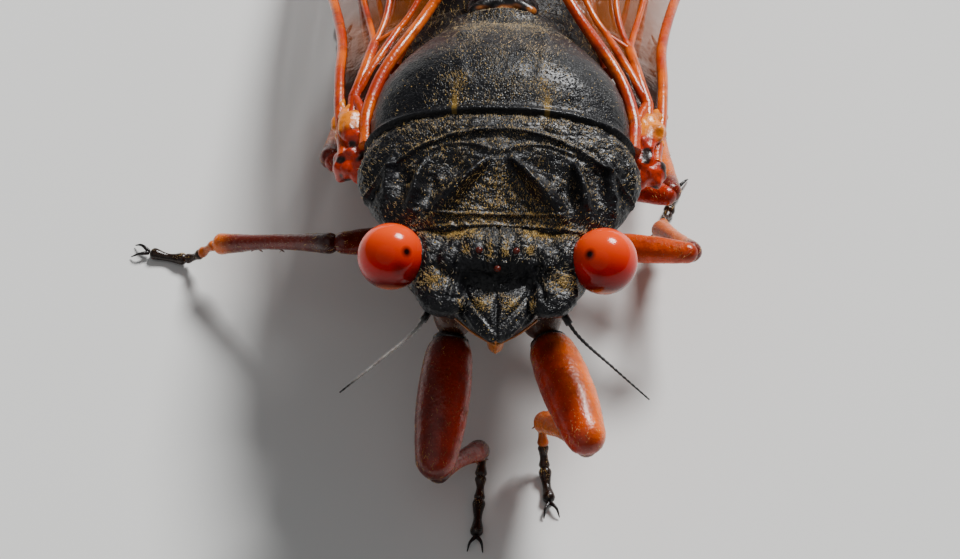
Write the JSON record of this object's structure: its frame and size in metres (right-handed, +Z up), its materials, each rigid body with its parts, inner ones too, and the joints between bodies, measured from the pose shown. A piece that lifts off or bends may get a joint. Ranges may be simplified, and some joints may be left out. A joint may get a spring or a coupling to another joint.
{
  "type": "periodical cicada model",
  "caption": "Life-size still model of a periodical cicada standing on its six feet, black body, red eyes, orange legs and clear veined wings folded roof-like over the abdomen.",
  "frame": {"origin": "centre of the bounding box, on the floor that the feet stand on", "axes": "+Z up, head towards -Y, the animal's left side towards +X"},
  "size_m": [0.0196, 0.0448, 0.0107],
  "materials": {
    "black_cuticle": "satin black cuticle with fine golden hairs",
    "abdomen": "black-brown rings with narrow orange-brown rear edges",
    "eye": "glossy red, darker below, with small black spots",
    "leg_orange": "glossy orange, dark red and black in places",
    "dark_horn": "dark brown horn",
    "wing": "clear amber membrane between orange veins"
  },
  "bodies": {
    "root": {"head": "black_cuticle", "face": "black_cuticle", "beak": "dark_horn", "eye_right": "eye", "eye_left": "eye", "feeler_right": "black_cuticle", "feeler_left": "black_cuticle", "pronotum": "black_cuticle", "mesonotum": "black_cuticle", "cruciform_elevation": "black_cuticle", "thorax": "black_cuticle", "abdomen": "abdomen", "forewing_right": "wing", "forewing_left": "wing", "hindwing_right": "wing", "hindwing_left": "wing", "coxa_fore_right": "dark_horn", "femur_fore_right": "leg_orange", "tibia_fore_right": "leg_orange", "tarsus_fore_right": "dark_horn", "coxa_fore_left": "dark_horn", "femur_fore_left": "leg_orange", "tibia_fore_left": "leg_orange", "tarsus_fore_left": "dark_horn", "coxa_mid_right": "dark_horn", "femur_mid_right": "leg_orange", "tibia_mid_right": "leg_orange", "tarsus_mid_right": "dark_horn", "coxa_mid_left": "dark_horn", "femur_mid_left": "leg_orange", "tibia_mid_left": "leg_orange", "tarsus_mid_left": "dark_horn", "coxa_hind_right": "dark_horn", "femur_hind_right": "leg_orange", "tibia_hind_right": "leg_orange", "tarsus_hind_right": "dark_horn", "coxa_hind_left": "dark_horn", "femur_hind_left": "leg_orange", "tibia_hind_left": "leg_orange", "tarsus_hind_left": "dark_horn"}
  },
  "joints": []
}
